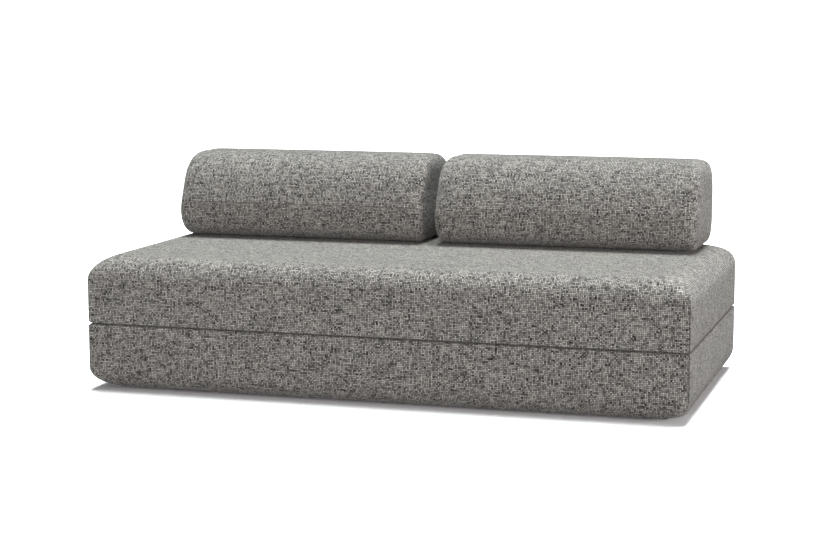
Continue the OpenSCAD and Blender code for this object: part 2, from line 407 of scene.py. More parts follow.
def block_profile(inset, low, high):
    """Height and inset of the rings of a layer of the block, from height low to high.

    The small round is r - r cos a high and r - r sin a in; the big one is
    h - R + R sin a high and R - R cos a in. An inner layer has both radii less by its
    own inset.
    """
    a = np.radians(np.linspace(0, 90, ROUND_CELLS + 1))
    b = np.radians(np.linspace(0, 90, BALL_CELLS + 1))
    h = BLOCK[2]
    r = max(JOINT_R - inset, LEAST_R)
    big = OUTER_R - inset
    wall = refined(inset + r, h - OUTER_R, recess_edges(ZIP_HEIGHT), WALL_CELLS_ABOUT)[1:-1]
    height = np.concatenate([inset + r - r * np.cos(a), wall, h - OUTER_R + big * np.sin(b)])
    drawn = np.concatenate([inset + r - r * np.sin(a), 0 * wall + inset, OUTER_R - big * np.cos(b)])
    inner = (height > low + SAME) & (height < high - SAME)
    ends = np.interp([low, high], height, drawn)
    height = np.concatenate([[low], height[inner], [high]])
    drawn = np.concatenate([[ends[0]], drawn[inner], [ends[1]]])
    return height, drawn


def block_rings(inset=0.0, low=0.0, high=BLOCK[2]):
    """Rings of a block layer about the block's middle, on z = 0 at the joint face."""
    height, drawn = block_profile(inset, low, high)
    steps = belt_steps()
    r = CORNER_R + CORNER_GROWTH * drawn
    reach = BLOCK[None, :2] / 2 - drawn[:, None] - r[:, None]
    way = np.column_stack([np.cos(steps[:, 2]), np.sin(steps[:, 2])])
    flat = steps[None, :, :2] * reach[:, None, :] + r[:, None, None] * way[None]
    z = np.repeat(height[:, None], len(steps), axis=1)
    return np.dstack([flat, z]), way


SEAM_TOP = 0.30
SEAM_FADE = 0.5
SEAM_SIDE = 0.6


def seam_and_shade_marks(rings):
    """How much of a seam each ring point is: 1 on the corner seams, fading up the ball.

    The seam ends SEAM_TOP radii below the face and fades over SEAM_FADE radii. The
    points beside it are SEAM_SIDE of a seam. The marks press the cloth in, and the
    cloth shader darkens them as painted shade of the crease.
    """
    marks = np.zeros(rings.shape[:2])
    left = BLOCK[2] - SEAM_TOP * OUTER_R - rings[:, 0, 2]
    fade = np.clip(left / (SEAM_FADE * OUTER_R), 0, 1)
    seams = np.array([0, NX, NX + NY, 2 * NX + NY])
    marks[:, seams] = fade[:, None]
    marks[:, (seams + 1) % marks.shape[1]] = SEAM_SIDE * fade[:, None]
    marks[:, seams - 1] = SEAM_SIDE * fade[:, None]
    # The ring on the joint face is marked whole, for painted shade along the crack between the
    # blocks.
    marks[0] = 1
    return marks


def wall_cloth(rings):
    """Cloth coordinates of the wall cells, so that threads run straight over the edge.

    Outwards from the seat face they measure the way down the wall; sideways they
    measure the way along the side from its middle.
    """
    rows = len(rings)
    step = np.linalg.norm(np.roll(rings, -1, axis=1) - rings, axis=2)
    drop = np.linalg.norm(np.diff(rings[:, NX // 2], axis=0), axis=1)
    down = np.append(np.cumsum(drop[::-1])[::-1], 0)
    sides = []
    start = 0
    for k, cells in enumerate((NX, NY, NX, NY)):
        out = math.radians(-90 + 90 * k)
        n_way = np.array([math.cos(out), math.sin(out)])
        t_way = np.array([-n_way[1], n_way[0]])
        side = np.cumsum(step[:, start : start + cells], axis=1)
        run = np.hstack([np.zeros((rows, 1)), side])
        run -= run[:, -1:] / 2
        far = abs(n_way @ (BLOCK[:2] / 2 - OUTER_R)) + down
        c = far[:, None, None] * n_way + run[:, :, None] * t_way
        sides.append(np.stack([c[:-1, :-1], c[:-1, 1:], c[1:, 1:], c[1:, :-1]], axis=2))
        start += cells
    return np.concatenate(sides, axis=1)


print("block grid:", NX, "x", NY, "cells a side,", len(block_profile(0, 0, BLOCK[2])[0]), "rings")

# %% [markdown]
# ## Filling the covers
# Foam and fibre push a cover out until its seams hold it. Blender's cloth does the
# same: the pinned points are the seams and the faces that rest on something, and air
# pressure stands for the filling. A cap on the movement keeps each cover within
# a few millimetres of its cut, because these covers are stretched tight over foam.
# Cloth that would move inwards stays where it is, because the foam is in its way.

# %% Cloth simulation
PRESSURE = 4.0
SIM_FRAMES = 20


def filled(co, faces, pinned, cap, name):
    """Points after the cloth was blown up, with every point moved less than cap.

    Only the outward part d of a movement counts, and it is shortened to
    d / (1 + d / cap), which leaves small moves as they are and stays below the cap.
    """
    piece = make_mesh(name, co, faces)
    group = piece.vertex_groups.new(name="held")
    group.add(np.flatnonzero(pinned).tolist(), 1.0, "REPLACE")
    outward = np.zeros(len(co) * 3, np.float32)
    piece.data.vertex_normals.foreach_get("vector", outward)
    outward = outward.reshape(-1, 3)
    cloth = piece.modifiers.new("filling", "CLOTH")
    cloth.settings.use_pressure = True
    cloth.settings.uniform_pressure_force = PRESSURE
    cloth.settings.effector_weights.gravity = 0
    cloth.settings.quality = 4
    cloth.settings.tension_stiffness = 40
    cloth.settings.compression_stiffness = 40
    cloth.settings.shear_stiffness = 20
    cloth.settings.bending_stiffness = 5
    cloth.settings.vertex_group_mass = "held"
    cloth.point_cache.frame_start = 1
    cloth.point_cache.frame_end = SIM_FRAMES
    scene = bpy.context.scene
    for frame_number in range(1, SIM_FRAMES + 1):
        scene.frame_set(frame_number)
    shape = piece.evaluated_get(bpy.context.evaluated_depsgraph_get())
    blown = np.zeros(len(co) * 3, np.float32)
    shape.data.vertices.foreach_get("co", blown)
    scene.frame_set(1)
    mesh = piece.data
    bpy.data.objects.remove(piece)
    bpy.data.meshes.remove(mesh)
    move = np.einsum("ij,ij->i", blown.reshape(-1, 3) - co, outward)
    far = np.maximum(move, 0)
    held = far / (1 + far / cap)
    most, kept = (round(float(way.max()) * 1000, 1) for way in (far, held))
    print(name, "moved out", most, "mm, kept", kept)
    return co + held[:, None] * outward


# %% Block covers
BLOCK_CAP = 0.003
FRONT_CAP = 0.0011
PINNED_SEAM = 0.05
PINNED_FOOT = 0.011
REAR_OF_BLOCK = 0.4
LOW_FACE_CLOTH = np.array([0, 3.0])
BASE_CLOTH = np.array([5.0, 0])


def press_recess(co, height, zip_half, behind, rear, slack):
    """Sets the points of the rear face inside a zip's recess RECESS_DEPTH in from rear."""
    across = np.abs(co[:, 2] - height) <= RECESS_HALF + slack
    inside = across & (np.abs(co[:, 0]) <= zip_half + RECESS_END + slack) & (co[:, 1] > behind)
    co[inside, 1] = rear - RECESS_DEPTH


def block_shape():
    """Points, faces, cloth coordinates and seam and painted-shade marks of a block cover on z = 0.
    """
    rings, way = block_rings()
    marks = seam_and_shade_marks(rings)
    co, wall, low, high = closed_surface(rings, NX, NY)
    faces = np.vstack([wall, low, high])
    seam = np.concatenate([marks.ravel(), np.zeros(len(co) - marks.size)])
    pinned = (seam > PINNED_SEAM) | (co[:, 2] < PINNED_FOOT) | (co[:, 2] > BLOCK[2] - SAME)
    co = filled(co, faces, pinned, BLOCK_CAP, "block_cloth")
    co[:, 1] = np.maximum(co[:, 1], -BLOCK[1] / 2 - FRONT_CAP)
    n = marks.size
    outward = np.broadcast_to(way[None], (*marks.shape, 2))
    push = marks[:, :, None] * np.dstack([outward, 0 * marks])
    co[:n] -= SEAM_DEPTH * push.reshape(-1, 3)
    press_recess(co, ZIP_HEIGHT, ZIP_HALF, REAR_OF_BLOCK, BLOCK[1] / 2, 1e-5)
    uv = [wall_cloth(rings), co[low][..., :2] + LOW_FACE_CLOTH, co[high][..., :2]]
    return co, faces, np.concatenate([part.reshape(-1, 2) for part in uv]), seam


def place_block(name, shape, low_corner, turned):
    """A block cover at its place; the base is turned over, with its joint face up."""
    co, faces, uv, seam = shape
    co = co.copy()
    co[:, :2] += low_corner[:2] + BLOCK[:2] / 2
    if turned:
        co[:, 2] = BLOCK[2] - co[:, 2]
        faces = faces[:, ::-1]
        uv = uv.reshape(-1, 4, 2)[:, ::-1].reshape(-1, 2) + BASE_CLOTH
    co[:, 2] += low_corner[2]
    piece = make_mesh(name, co, faces, uv, seam)
    print(name, len(co), "points,", len(faces), "faces")
    return piece


block = block_shape()
seat_piece = place_block("seat_upholstery", block, seat_low, False)
base_piece = place_block("base_upholstery", block, base_low, True)

# %% [markdown]
# ## The bolster
# A bolster is a firm foam bar with a leaning front. Its section is a belt round four
# rounds of different size: a small one at the front foot, a big one over which the
# back rests, a third at the rear and a fourth at the rear foot. Rings of this belt
# stand side by side along the bolster, and at both ends they draw in over a quarter
# round. A patch closes each end, and the filling crowns it a little.

# %% Bolster rings
BOLSTER_ROUNDS = np.array([
    # y and z of the centre, and radius
    [0.215, 0.092, 0.092],
    [0.435, 0.080, 0.080],
    [0.408, 0.189, 0.107],
    [0.300, 0.146, 0.150],
])
END_R = 0.031
BOLSTER_LENGTH_CELLS = 56
BOLSTER_ARC = 7
BOLSTER_STRAIGHT = (12, 10, 6, 10)
BOLSTER_LOW, BOLSTER_HIGH = node_box("left_bolster_cover")
BOLSTER_LENGTH = float(BOLSTER_HIGH[0] - BOLSTER_LOW[0])
BOLSTER_ZIP_HEIGHT = node_middle("left_bolster_zip_coil")[2] - BOLSTER_LOW[2]
BOLSTER_ZIP_HALF = 0.31


def belt_lines():
    """Outward angle of the straight side that follows each round of the section.

    A line that touches two rounds leans from the line of their centres by the angle
    whose sine is the difference of their radii over their distance.
    """
    here = BOLSTER_ROUNDS
    after = np.roll(here, -1, axis=0)
    way = after[:, :2] - here[:, :2]
    gap = np.linalg.norm(way, axis=1)
    lean = np.arcsin((here[:, 2] - after[:, 2]) / gap)
    return np.unwrap(np.arctan2(way[:, 1], way[:, 0]) - math.pi / 2 + lean)


def belt_samples():
    """Centre, radius and direction of every point of the section's belt.

    On a round the direction turns; on a straight side centre and radius travel to
    those of the next round. The rear side has lines at the zip's recess.
    """
    lines = belt_lines()
    foot, top = BOLSTER_ROUNDS[1:3, 1]
    rear = (recess_edges(BOLSTER_ZIP_HEIGHT) - foot) / (top - foot)
    parts = []
    for k, cells in enumerate(BOLSTER_STRAIGHT):
        first = lines[k - 1] - (2 * math.pi if k == 0 else 0)
        turn = np.linspace(first, lines[k], BOLSTER_ARC + 1)[:-1]
        share = refined(0, 1, rear if k == 1 else [], cells)
        round_here = np.repeat(BOLSTER_ROUNDS[k : k + 1], len(turn), axis=0)
        after = BOLSTER_ROUNDS[(k + 1) % 4]
        travel = BOLSTER_ROUNDS[k] + share[:-1, None] * (after - BOLSTER_ROUNDS[k])
        parts.append(np.column_stack([round_here, turn]))
        parts.append(np.column_stack([travel, np.full(len(travel), lines[k])]))
    return np.vstack(parts)


def bolster_profile(length, inset):
    """Place along the bolster and inset of every ring; the ends are quarter rounds."""
    a = np.radians(np.linspace(0, 90, ROUND_CELLS + 1))
    r = END_R - inset
    reach = length / 2 - END_R
    along = refined(-reach, reach, recess_ends(BOLSTER_ZIP_HALF), BOLSTER_LENGTH_CELLS)
    x = np.concatenate([-reach - r * np.cos(a), along[1:-1], (reach + r * np.cos(a))[::-1]])
    s = END_R - r * np.sin(a)
    drawn = np.concatenate([s, np.full(len(along) - 2, inset), s[::-1]])
    return x, drawn


def bolster_rings(length, inset=0.0):
    """Rings of a bolster layer: centre + (radius - inset) times direction, along x."""
    samples = belt_samples()
    x, drawn = bolster_profile(length, inset)
    r = samples[None, :, 2] - drawn[:, None]
    way = np.column_stack([np.cos(samples[:, 3]), np.sin(samples[:, 3])])
    yz = samples[None, :, :2] + r[:, :, None] * way[None]
    return np.dstack([np.repeat(x[:, None], len(samples), axis=1), yz])


def end_sides(n):
    """Split of a ring of n points into four sides with equal opposite counts."""
    ny = n // 4
    nx = n // 2 - ny
    return nx, ny


def belt_cloth(rings):
    """Cloth coordinates of the wall: u is the way along the bolster, v the way round it."""
    middle = rings[len(rings) // 2]
    step = np.linalg.norm(np.roll(middle, -1, axis=0) - middle, axis=1)
    run = np.append(0, np.cumsum(step))
    way = np.linalg.norm(np.diff(rings[:, 0], axis=0), axis=1)
    along = np.append(0, np.cumsum(way))
    along -= along[-1] / 2
    u = np.repeat(along[:, None], len(run), axis=1)
    v = np.repeat(run[None], len(along), axis=0)
    c = np.dstack([u, v])
    return np.stack([c[:-1, :-1], c[:-1, 1:], c[1:, 1:], c[1:, :-1]], axis=2)


BOLSTER_CAP = 0.006
BOLSTER_FOOT = 0.004
BOLSTER_ZIP_HELD = 0.022
REAR_OF_BOLSTER = 0.5
BOLSTER_REAR = 0.515
END_CLOTHS = np.array([[7.0, 0], [9.0, 0]])


def bolster_shape():
    """Points, faces, cloth coordinates and seam marks of a bolster, standing on z = 0."""
    rings = bolster_rings(BOLSTER_LENGTH)
    n = rings.shape[1]
    nx, ny = end_sides(n)
    co, wall, low, high = closed_surface(rings, nx, ny)
    faces = np.vstack([wall, low, high])
    by_zip = np.abs(co[:, 2] - BOLSTER_ZIP_HEIGHT) < BOLSTER_ZIP_HELD
    pinned = (co[:, 2] < BOLSTER_FOOT) | (by_zip & (co[:, 1] > REAR_OF_BOLSTER))
    co = filled(co, faces, pinned, BOLSTER_CAP, "bolster_cloth")
    press_recess(co, BOLSTER_ZIP_HEIGHT, BOLSTER_ZIP_HALF, REAR_OF_BOLSTER, BOLSTER_REAR, 2e-5)
    ends = [co[end][..., 1:] + shift for end, shift in zip((low, high), END_CLOTHS)]
    uv = np.concatenate([part.reshape(-1, 2) for part in (belt_cloth(rings), *ends)])
    return co, faces, uv, np.zeros(len(co))


def place_bolster(name, shape, node):
    """A bolster cover on its CAD place."""
    co, faces, uv, seam = shape
    low, high = node_box(node)
    co = co + np.array([(low[0] + high[0]) / 2, 0, low[2]])
    piece = make_mesh(name, co, faces, uv + np.array([0, low[0]]), seam)
    print(name, len(co), "points,", len(faces), "faces")
    return piece


bolster = bolster_shape()
left_piece = place_bolster("left_bolster_upholstery", bolster, "left_bolster_cover")
right_piece = place_bolster("right_bolster_upholstery", bolster, "right_bolster_cover")

# %% Smoothing, bodies and declarations
SUBDIVISION = 1


def soften(piece):
    """One level of subdivision, the same in the view and in the render."""
    modifier = piece.modifiers.new("soften", "SUBSURF")
    modifier.levels = SUBDIVISION
    modifier.render_levels = SUBDIVISION


COVERS = {
    "seat": (seat_piece, 0.9),
    "base": (base_piece, 0.9),
    "left_bolster": (left_piece, 0.85),
    "right_bolster": (right_piece, 0.85),
}
for body, (piece, fill) in COVERS.items():
    soften(piece)
    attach(piece, body)
    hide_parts(body + "_cover")
    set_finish(piece, "upholstery_cloth")
print("covers:", [piece.name for piece, fill in COVERS.values()])

# %% [markdown]
# ## Layers under the cover
# Under the cloth lie a thin liner, a wrap of fibre and the foam: firm in the core,
# softer on the side one sleeps on and on the side one sits on. They have the shape of
# the cover, drawn in by the layers outside them, so the same rings make them.

# %% Inner layers
def layer_inset(node, cover):
    """How far a node lies inside its cover, from the two boxes' ends along x."""
    return float(node_box(node)[0][0] - node_box(cover)[0][0])


def block_layer(body, part, slot):
    """A liner, wrap or foam slab of a block as a closed piece on its CAD node's place."""
    node = body + "_" + part
    cover_low = node_box(body + "_cover")[0]
    low, high = node_box(node)
    inset = layer_inset(node, body + "_cover")
    turned = body == "base"
    z = np.array([low[2], high[2]]) - cover_low[2]
    z = np.sort(BLOCK[2] - z) if turned else z
    rings, _ = block_rings(inset, *z)
    co, wall, low_faces, high_faces = closed_surface(rings, NX, NY)
    faces = np.vstack([wall, low_faces, high_faces])
    co[:, :2] += cover_low[:2] + BLOCK[:2] / 2
    if turned:
        co[:, 2] = BLOCK[2] - co[:, 2]
        faces = faces[:, ::-1]
    co[:, 2] += cover_low[2]
    return dress_layer(node, co, faces, body, slot)


def bolster_layer(body, part, slot):
    """A liner, wrap or foam bar of a bolster as a closed piece on its CAD node's place."""
    node = body + "_" + part
    low, high = node_box(body + "_cover")
    rings = bolster_rings(BOLSTER_LENGTH, layer_inset(node, body + "_cover"))
    co, wall, low_faces, high_faces = closed_surface(rings, *end_sides(rings.shape[1]))
    co += np.array([(low[0] + high[0]) / 2, 0, low[2]])
    return dress_layer(node, co, np.vstack([wall, low_faces, high_faces]), body, slot)


def dress_layer(node, co, faces, body, slot):
    """Makes the piece, lets it ride and puts it in its node's place."""
    piece = make_mesh(node + "_layer", co, faces)
    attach(piece, body)
    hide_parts(node)
    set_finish(piece, slot)
    return piece


WRAPS = [("liner", "liner_cloth"), ("wadding", "fibre_wadding")]
SLABS = [("core_foam", "core_foam"), ("sleep_foam", "sleep_foam")]
layers = [block_layer("base", *part) for part in WRAPS + SLABS]
layers += [block_layer("seat", *part) for part in WRAPS + SLABS + [("sit_foam", "sit_foam")]]
for body in ("left_bolster", "right_bolster"):
    layers += [bolster_layer(body, *part) for part in WRAPS + [("foam", "core_foam")]]
print("inner layers:", len(layers))

# %% [markdown]
# ## The cloth hinge
# A strip of the upholstery cloth joins the two blocks along the front. Closed, it is
# folded in the crack with its fold on the axis of the joint. The fold's colour is
# darkened, painted shade of the crack between the blocks. Open, the strip lies flat
# over the gap.

# %% Cloth hinge
HINGE_FOLD_CELLS = 8
HINGE_LEG_CELLS = 6
HINGE_LENGTH_CELLS = 60
HINGE_THICK = 0.0007
HINGE_LINE = 0.004
HINGE_SET_BACK = 0.0012


def ribbon_faces(number, half):
    """Faces of a flat tube: its rows of points run round, half of them on each skin."""
    around = grid_quads(np.hstack([number, number[:, :1]]))
    first, last = (grid_quads(np.vstack([row[:half], row[half:][::-1]])) for row in number[[0, -1]])
    return np.vstack([around, first[:, ::-1], last])


def hinge_strip():
    """A folded strip: its section runs forward on the base, round the fold, and back.

    The section is a stadium half: two legs joined by a half circle round the axis.
    The strip gets its thickness from a second skin, offset along the normal.
    """
    base_leaf, seat_leaf = node_box("base_hinge_leaf"), node_box("seat_hinge_leaf")
    axis = np.array(JOINT_AXIS)
    r = (seat_leaf[0][2] + seat_leaf[1][2] - base_leaf[0][2] - base_leaf[1][2]) / 4
    front, back = axis[0] + HINGE_SET_BACK + r, base_leaf[1][1]
    leg = np.append(np.linspace(back, front + HINGE_LINE, HINGE_LEG_CELLS), front)
    a = np.radians(np.linspace(-90, -270, HINGE_FOLD_CELLS + 1))
    fold = np.column_stack([front + r * np.cos(a), axis[1] + r * np.sin(a)])
    lower = np.column_stack([leg[:-1], np.full(HINGE_LEG_CELLS, axis[1] - r)])
    upper = np.column_stack([leg[:-1][::-1], np.full(HINGE_LEG_CELLS, axis[1] + r)])
    line = np.vstack([lower, fold, upper])
    way = np.gradient(line, axis=0)
    normal = np.column_stack([way[:, 1], -way[:, 0]])
    normal /= np.linalg.norm(normal, axis=1, keepdims=True)
    skin = normal * HINGE_THICK / 2
    loop = np.vstack([line + skin, (line - skin)[::-1]])
    x = np.linspace(base_leaf[0][0], base_leaf[1][0], HINGE_LENGTH_CELLS + 1)
    points = np.zeros((len(x), len(loop), 3))
    points[:, :, 0] = x[:, None]
    points[:, :, 1:] = loop[None]
    number = np.arange(points.shape[0] * points.shape[1]).reshape(points.shape[:2])
    faces = ribbon_faces(number, len(line))
    run = np.append(0, np.cumsum(np.linalg.norm(np.diff(loop, axis=0), axis=1)))
    co = points.reshape(-1, 3)
    uv = np.column_stack([co[:, 0], np.tile(run, len(x))])[faces].reshape(-1, 2)
    # The fold is marked 1 and the legs 0; the cloth shader paints shade on the fold.
    leg_shade_mark = np.zeros(HINGE_LEG_CELLS)
    shade_mark = np.concatenate([leg_shade_mark, np.ones(len(fold)), leg_shade_mark])
    return co, faces, uv, np.tile(np.append(shade_mark, shade_mark[::-1]), len(x)), r


hinge_joint = next(j for j in frame["joints"] if j["name"] == "unfold")
JOINT_AXIS = (hinge_joint["pos_m"][1], hinge_joint["pos_m"][2])
co, faces, uv, fold_shade_mark, fold_r = hinge_strip()
hinge_piece = make_mesh("hinge_tape", co, faces, uv, fold_shade_mark)
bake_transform(hinge_piece)
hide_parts("base_hinge_leaf", "seat_hinge_leaf")
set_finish(hinge_piece, "upholstery_cloth")
print("fold radius", round(fold_r * 1000, 2), "mm")

# %% [markdown]
# ## Zips
# Each cover has a long zip at the rear, set back in a shallow slot. The coil is two
# rows of nylon hooks. Modelled one by one they would be hundreds of tiny shapes, so
# one ribbon carries them: its surface is ribbed across like the rows of hooks, and
# dips along the middle where the two rows meet.

# %% Zip coils
COIL_HOOKS_PER_M = 160
COIL_CELLS_PER_HOOK = 2
COIL_ACROSS = 7
COIL_DIP = 0.6
COIL_DIP_WIDTH = 0.25


def coil_ribbon(node):
    """A closed ribbon in a coil node's box, whose outer face is ribbed.

    With s from -1 to 1 across, h hooks a metre and box depth d, its depth is
    d (0.45 + 0.55 |sin(pi x h)| (1 - 0.6 exp(-(s / 0.25)^2))) sqrt(1 - 0.85 s^2).
    """
    low, high = node_box(node)
    cells = int((high[0] - low[0]) * COIL_HOOKS_PER_M * COIL_CELLS_PER_HOOK)
    x = np.linspace(low[0], high[0], cells + 1)
    across = np.linspace(-1, 1, COIL_ACROSS)
    rib = np.abs(np.sin(math.pi * x * COIL_HOOKS_PER_M))[:, None]
    dip = 1 - COIL_DIP * np.exp(-((across / COIL_DIP_WIDTH) ** 2))[None]
    round_off = np.sqrt(1 - 0.85 * across**2)[None]
    depth = (high[1] - low[1]) * (0.45 + 0.55 * rib * dip) * round_off
    top = np.zeros((*depth.shape, 3))
    top[:, :, 0] = x[:, None]
    top[:, :, 1] = low[1] + depth
    top[:, :, 2] = (low[2] + high[2]) / 2 + across * (high[2] - low[2]) / 2
    under = top[:, ::-1].copy()
    under[:, :, 1] = low[1]
    loop = np.concatenate([top, under], axis=1)
    number = np.arange(loop.shape[0] * loop.shape[1]).reshape(loop.shape[:2])
    return loop.reshape(-1, 3), ribbon_faces(number, COIL_ACROSS)


for body in COVERS:
    node = body + "_zip_coil"
    co, faces = coil_ribbon(node)
    ribbon = make_mesh(node + "_ribbon", co, faces)
    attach(ribbon, body)
    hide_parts(node)
    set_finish(ribbon, "zip_coil")
    print(ribbon.name, len(faces), "faces")

# %% [markdown]
# ## Materials
# All finishes are built from nodes. The upholstery is a coarse plain weave of slubby
# melange yarn, between five and six millimetres a thread. Every thread has its own
# tone, which drifts along its length, and at every crossing the thread on top shows.
# The same numbers drive colour and relief, so a thick light slub also stands higher.
# The colour also darkens towards the edges of every thread: painted shade in the gaps
# between threads.
# On seams, along the crack between the blocks and on the hinge's fold the colour is
# darkened: painted shade of the crease.

# %% Node helpers
def put(tree, value, socket):
    """Links a socket to an input, or sets the input to a plain value."""
    if isinstance(value, bpy.types.NodeSocket):
        tree.links.new(value, socket)
    else:
        socket.default_value = value


def calc(tree, operation, *values):
    """The output of a Math node."""
    node = tree.nodes.new("ShaderNodeMath")
    node.operation = operation
    for value, socket in zip(values, node.inputs):
        put(tree, value, socket)
    return node.outputs[0]


def blend_of(tree, factor, a, b):
    """The output of a Mix node on two numbers: a where factor is 0, b where it is 1."""
    node = tree.nodes.new("ShaderNodeMix")
    for value, socket in zip((factor, a, b), ("Factor", "A", "B")):
        put(tree, value, node.inputs[socket])
    return node.outputs["Result"]


def vector(tree, x, y, z=0.0):
    """Three numbers as one vector."""
    node = tree.nodes.new("ShaderNodeCombineXYZ")
    for value, socket in zip((x, y, z), node.inputs):
        put(tree, value, socket)
    return node.outputs[0]


def noise(tree, where, scale, detail=0.0):
    """Smooth noise from 0 to 1, mostly near 0.5."""
    node = tree.nodes.new("ShaderNodeTexNoise")
    node.noise_dimensions = "3D"
    put(tree, where, node.inputs["Vector"])
    node.inputs["Scale"].default_value = scale
    node.inputs["Detail"].default_value = detail
    node.inputs["Roughness"].default_value = 0.5
    return node.outputs["Fac"]


def speck(tree, where):
    """A different number from 0 to 1 for every whole-number place."""
    node = tree.nodes.new("ShaderNodeTexWhiteNoise")
    node.noise_dimensions = "3D"
    put(tree, where, node.inputs["Vector"])
    return node.outputs["Value"]


def object_place(tree):
    """X, Y and Z of the shading point in metres."""
    source = tree.nodes.new("ShaderNodeTexCoord")
    split = tree.nodes.new("ShaderNodeSeparateXYZ")
    tree.links.new(source.outputs["Object"], split.inputs[0])
    return split.outputs, source.outputs["Object"]


def shade(tree, tone, dark, light):
    """A colour between dark and light for a tone from 0 to 1."""
    ramp = tree.nodes.new("ShaderNodeMix")
    ramp.data_type = "RGBA"
    put(tree, tone, ramp.inputs["Factor"])
    ramp.inputs["A"].default_value = (*dark, 1)
    ramp.inputs["B"].default_value = (*light, 1)
    return ramp.outputs["Result"]


def raise_surface(tree, height, distance):
    """A bump normal for a height from 0 to 1 that stands for so many metres."""
    bump = tree.nodes.new("ShaderNodeBump")
    bump.inputs["Strength"].default_value = 1.0
    bump.inputs["Distance"].default_value = distance
    put(tree, height, bump.inputs["Height"])
    return bump.outputs["Normal"]


def plus(tree, a, b):
    """a + b as a node."""
    return calc(tree, "ADD", a, b)


def less(tree, a, b):
    """a - b as a node."""
    return calc(tree, "SUBTRACT", a, b)


def times(tree, a, b):
    """a x b as a node."""
    return calc(tree, "MULTIPLY", a, b)


def line(tree, x, slope, start):
    """slope x + start as a node."""
    return calc(tree, "MULTIPLY_ADD", x, slope, start)


def arch_of(tree, part):
    """sin(pi part): the round back of a thread from one edge, 0, to the other, 1."""
    return calc(tree, "SINE", times(tree, part, math.pi))


def odd_cell(tree, column, row):
    """1 on the odd cells of a chequerboard, where the crossing thread is on top."""
    return calc(tree, "FLOORED_MODULO", plus(tree, column, row), 2.0)


def new_material(name, **constants):
    """An empty material with one Principled shader; constants are set on its sockets."""
    material = bpy.data.materials.new(name)
    material.use_nodes = True
    shader = material.node_tree.nodes["Principled BSDF"]
    for socket, value in constants.items():
        shader.inputs[socket.replace("_", " ")].default_value = value
    return material, material.node_tree, shader


# %% Upholstery cloth
THREAD = 0.0056
CLOTH_TONE = np.array([0.262, 0.250, 0.235])
TONE_LOW = 0.06
TONE_HIGH = 2.74
RELIEF = 0.0022
WANDER = 0.0042
WANDERS_PER_M = 60.0
WEFT_DRIFT = (32.0, 7.31)
WARP_DRIFT = (36.0, 5.17, 31.0)
WEFT_CONTRAST = 1.4
WARP_CONTRAST = 1.1
CROSS_CONTRAST = 0.66
TONE_START = 0.205
PAINTED_CREASE_SHADE = 0.75


def melange_cloth():
    """Plain weave on the cloth coordinates.

    With a = u / thread and b = v / thread, the weft is on top where floor(a) + floor(b)
    is odd. A thread's height is sin(pi part across) (0.6 + 0.4 sin(pi part along)).
    The tone of a crossing is the drift of the thread on top, plus a number of its own.
    Its colour is that tone times the thread's height: painted shade in the gaps.
    """
    material, tree, shader = new_material(
        "melange_cloth", Sheen_Weight=0.25, Sheen_Roughness=0.5, Specular_IOR_Level=0.25
    )
    source = tree.nodes.new("ShaderNodeUVMap")
    source.uv_map = "cloth"
    split = tree.nodes.new("ShaderNodeSeparateXYZ")
    tree.links.new(source.outputs[0], split.inputs[0])
    u, v = split.outputs[0], split.outputs[1]
    drift = less(tree, noise(tree, source.outputs[0], WANDERS_PER_M, 1.0), 0.5)
    wander = times(tree, drift, WANDER)
    a = calc(tree, "DIVIDE", plus(tree, u, wander), THREAD)
    b = calc(tree, "DIVIDE", less(tree, v, wander), THREAD)
    column, row = calc(tree, "FLOOR", a), calc(tree, "FLOOR", b)
    part_a, part_b = calc(tree, "FRACT", a), calc(tree, "FRACT", b)
    on_top = odd_cell(tree, column, row)
    arch_a, arch_b = arch_of(tree, part_a), arch_of(tree, part_b)
    weft = times(tree, arch_b, line(tree, arch_a, 0.4, 0.6))
    warp = times(tree, arch_a, line(tree, arch_b, 0.4, 0.6))
    arch = blend_of(tree, on_top, warp, weft)
    along_weft = vector(tree, times(tree, u, WEFT_DRIFT[0]), times(tree, row, WEFT_DRIFT[1]))
    along_warp = vector(
        tree, times(tree, column, WARP_DRIFT[1]), times(tree, v, WARP_DRIFT[0]), WARP_DRIFT[2]
    )
    weft_tone = line(tree, noise(tree, along_weft, 1.0), WEFT_CONTRAST, -WEFT_CONTRAST / 2)
    warp_tone = line(tree, noise(tree, along_warp, 1.0), WARP_CONTRAST, -WARP_CONTRAST / 2)
    cross_tone = speck(tree, vector(tree, column, row))
    thread_tone = plus(tree, blend_of(tree, on_top, warp_tone, weft_tone), TONE_START)
    tone = calc(tree, "MULTIPLY_ADD", cross_tone, CROSS_CONTRAST, thread_tone)
    # Painted shade: the tone is multiplied by the thread's arch, so it darkens towards the gaps
    # between threads.
    gap_shaded_tone = times(tree, tone, arch)
    nap = line(tree, noise(tree, source.outputs[0], 5.0, 3.0), 0.12, 0.94)
    seam = tree.nodes.new("ShaderNodeAttribute")
    seam.attribute_name = "seam"
    # Painted shade: the colour is darkened on seams, along the crack between the blocks and on the
    # hinge's fold.
    painted_crease_shade = less(tree, 1.0, times(tree, seam.outputs["Fac"], PAINTED_CREASE_SHADE))
    clear = tree.nodes.new("ShaderNodeClamp")
    tree.links.new(times(tree, times(tree, gap_shaded_tone, nap), painted_crease_shade), clear.inputs[0])
    colour = shade(tree, clear.outputs[0], CLOTH_TONE * TONE_LOW, CLOTH_TONE * TONE_HIGH)
    tree.links.new(colour, shader.inputs["Base Color"])
    tree.links.new(line(tree, cross_tone, 0.12, 0.82), shader.inputs["Roughness"])
    height = plus(tree, times(tree, arch, 0.5), times(tree, tone, 0.5))
    tree.links.new(raise_surface(tree, height, RELIEF), shader.inputs["Normal"])
    return material


cloth = melange_cloth()
for piece in [hinge_piece] + [cover for cover, fill in COVERS.values()]:
    piece.data.materials.append(cloth)
print("cloth of", THREAD * 1000, "mm threads")


